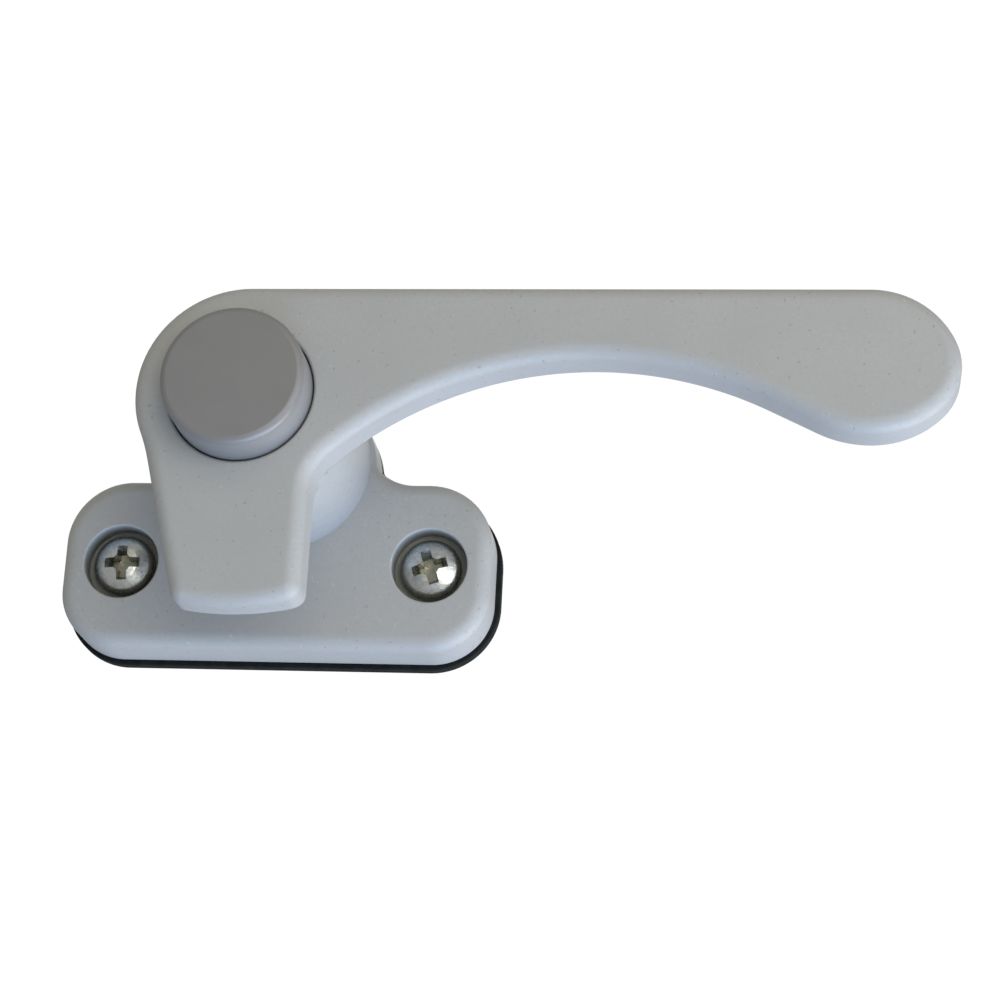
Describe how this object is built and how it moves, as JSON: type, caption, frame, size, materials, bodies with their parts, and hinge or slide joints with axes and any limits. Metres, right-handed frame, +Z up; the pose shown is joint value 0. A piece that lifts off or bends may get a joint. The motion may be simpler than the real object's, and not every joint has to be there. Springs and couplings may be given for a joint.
{
  "type": "window sash handle with crank",
  "caption": "Window sash handle: a crank lever with a hooking tongue swings on a barrel over a screwed base plate, with a sprung push-lock button in the hub.",
  "frame": {"origin": "on the window frame's face, midway between the two fixing screws", "axes": "+Y into the window frame, along the screws; +X along the lever when it is shut; +Z up"},
  "size_m": [0.1367, 0.0607, 0.0488],
  "materials": {
    "painted_casting": "matte light grey enamel with fine speckle",
    "gasket_rubber": "matte black",
    "screw_plate": "bright zinc plate",
    "zinc_steel": "zinc plated",
    "acetal": "natural acetal",
    "button_plastic": "mid grey moulding"
  },
  "bodies": {
    "base": {"base_casting": "painted_casting", "base_gasket": "gasket_rubber", "mounting_screw_left": "screw_plate", "mounting_screw_right": "screw_plate", "stop_pin": "zinc_steel", "front_bush": "acetal", "rear_bush": "acetal", "thrust_washer": "acetal"},
    "lever": {"lever_handle": "painted_casting", "spindle": "zinc_steel", "back_washer": "zinc_steel", "wave_washer": "zinc_steel", "retaining_ring": "zinc_steel", "detent_ball": "zinc_steel", "detent_spring": "zinc_steel", "button_spring": "zinc_steel"},
    "button": {"push_button": "button_plastic", "lock_pin": "zinc_steel"}
  },
  "joints": [
    {"name": "lever_swing", "type": "hinge", "parent": "base", "child": "lever", "pos_m": [0, 0, 0.0161], "axis": [0, -1, 0], "range_deg": [0, 90]},
    {"name": "button_push", "type": "slide", "parent": "lever", "child": "button", "axis": [0, 1, 0], "range_m": [0, 0.003], "stiffness_N_per_m": 800, "springref_m": -0.002, "deforming": ["button_spring"]}
  ]
}
